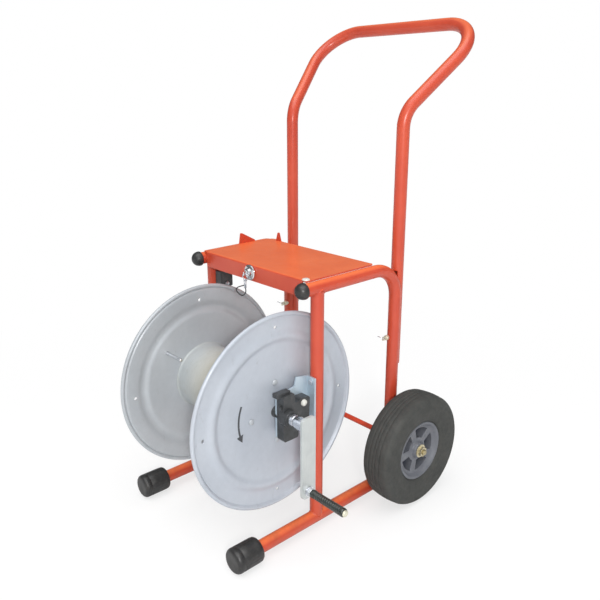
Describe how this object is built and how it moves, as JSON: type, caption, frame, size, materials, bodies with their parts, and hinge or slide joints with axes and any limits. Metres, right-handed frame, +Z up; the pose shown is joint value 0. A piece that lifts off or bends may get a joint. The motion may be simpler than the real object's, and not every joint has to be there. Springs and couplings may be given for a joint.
{
  "type": "hose reel cart",
  "caption": "Two-wheeled tubular cart with a U-shaped push handle, a flat deck and an empty crank-wound hose reel slung between its front posts.",
  "frame": {"origin": "on the floor under the middle of the bounding box", "axes": "+Z up, +Y towards the push handle (rear), +X towards the crank side (right)"},
  "size_m": [0.6086, 0.7268, 1.0304],
  "materials": {
    "frame_paint": "gloss orange-red enamel",
    "rubber_cap": "matt moulded rubber",
    "tyre_rubber": "matt rubber",
    "wheel_hub": "grey moulded hub",
    "zinc": "bright zinc plate",
    "yellow_zinc": "yellow zinc plate",
    "chrome": "bright chrome",
    "reel_paint": "light grey paint",
    "black_casting": "black painted casting",
    "black_wire": "black plastic-coated wire",
    "grip_plastic": "black moulded grip",
    "brass": "machined brass"
  },
  "bodies": {
    "frame": {"side_tube_right": "frame_paint", "side_tube_left": "frame_paint", "front_post_right": "frame_paint", "front_post_left": "frame_paint", "base_tube_right": "frame_paint", "base_tube_left": "frame_paint", "deck_plate": "frame_paint", "handle": "frame_paint", "axle": "frame_paint", "foot_cap_right": "rubber_cap", "foot_cap_left": "rubber_cap", "rail_cap_right": "rubber_cap", "rail_cap_left": "rubber_cap", "deck_corner_bolt": "zinc", "under_deck_screw": "zinc", "axle_spacer_right": "zinc", "axle_spacer_left": "zinc", "bearing_bracket_right": "zinc", "bearing_bracket_left": "zinc", "bearing_bolt_right": "zinc", "bearing_bolt_left": "zinc", "bracket_bolt_right": "zinc", "bracket_bolt_left": "zinc", "axle_nut_right": "yellow_zinc", "axle_nut_left": "yellow_zinc", "under_deck_block": "black_casting", "bearing_block_right": "black_casting", "bearing_block_left": "black_casting", "bearing_set_screw": "black_casting"},
    "reel": {"reel_flange_right": "reel_paint", "reel_flange_left": "reel_paint", "reel_drum": "reel_paint", "reel_shaft": "zinc", "reel_hub_right": "black_casting", "reel_hub_left": "black_casting", "flange_bolt_1": "reel_paint", "flange_bolt_2": "reel_paint", "flange_bolt_3": "reel_paint", "flange_bolt_4": "reel_paint", "hose_anchor_stud": "chrome", "crank_boss": "zinc", "crank_arm": "zinc", "grip_bolt": "yellow_zinc", "grip_nut_inner": "zinc", "grip_nut_outer": "zinc", "grip_washer": "zinc"},
    "crank_grip": {"crank_grip": "grip_plastic"},
    "wheel_right": {"tyre_right": "tyre_rubber", "wheel_rim_right": "wheel_hub"},
    "wheel_left": {"tyre_left": "tyre_rubber", "wheel_rim_left": "wheel_hub"},
    "inlet_swivel": {"inlet_swivel": "brass"},
    "front_pin": {"front_pull_pin": "chrome", "front_pin_ring": "zinc", "lanyard_ferrule": "zinc", "lanyard_wire": "black_wire"},
    "handle_pin_right": {"handle_lock_pin_right": "zinc", "handle_pin_ring_right": "zinc"},
    "handle_pin_left": {"handle_lock_pin_left": "zinc", "handle_pin_ring_left": "zinc"}
  },
  "joints": [
    {"name": "reel_spin", "type": "hinge", "parent": "frame", "child": "reel", "pos_m": [-0.03225, -0.16075, 0.29], "axis": [1, 0, 0], "continuous": true},
    {"name": "crank_grip_spin", "type": "hinge", "parent": "reel", "child": "crank_grip", "pos_m": [0.25775, -0.16075, 0.156], "axis": [1, 0, 0], "continuous": true},
    {"name": "wheel_right_spin", "type": "hinge", "parent": "frame", "child": "wheel_right", "pos_m": [0.20025, 0.15675, 0.127], "axis": [1, 0, 0], "continuous": true},
    {"name": "wheel_left_spin", "type": "hinge", "parent": "frame", "child": "wheel_left", "pos_m": [-0.26475, 0.15675, 0.127], "axis": [1, 0, 0], "continuous": true},
    {"name": "inlet_swivel_turn", "type": "hinge", "parent": "frame", "child": "inlet_swivel", "pos_m": [-0.25825, -0.16075, 0.29], "axis": [1, 0, 0], "continuous": true},
    {"name": "front_pin_pull", "type": "slide", "parent": "frame", "child": "front_pin", "axis": [0, -1, 0], "range_m": [0, 0.034]},
    {"name": "handle_pin_right_pull", "type": "slide", "parent": "frame", "child": "handle_pin_right", "axis": [0, -1, 0], "range_m": [0, 0.05]},
    {"name": "handle_pin_left_pull", "type": "slide", "parent": "frame", "child": "handle_pin_left", "axis": [0, -1, 0], "range_m": [0, 0.05]}
  ]
}
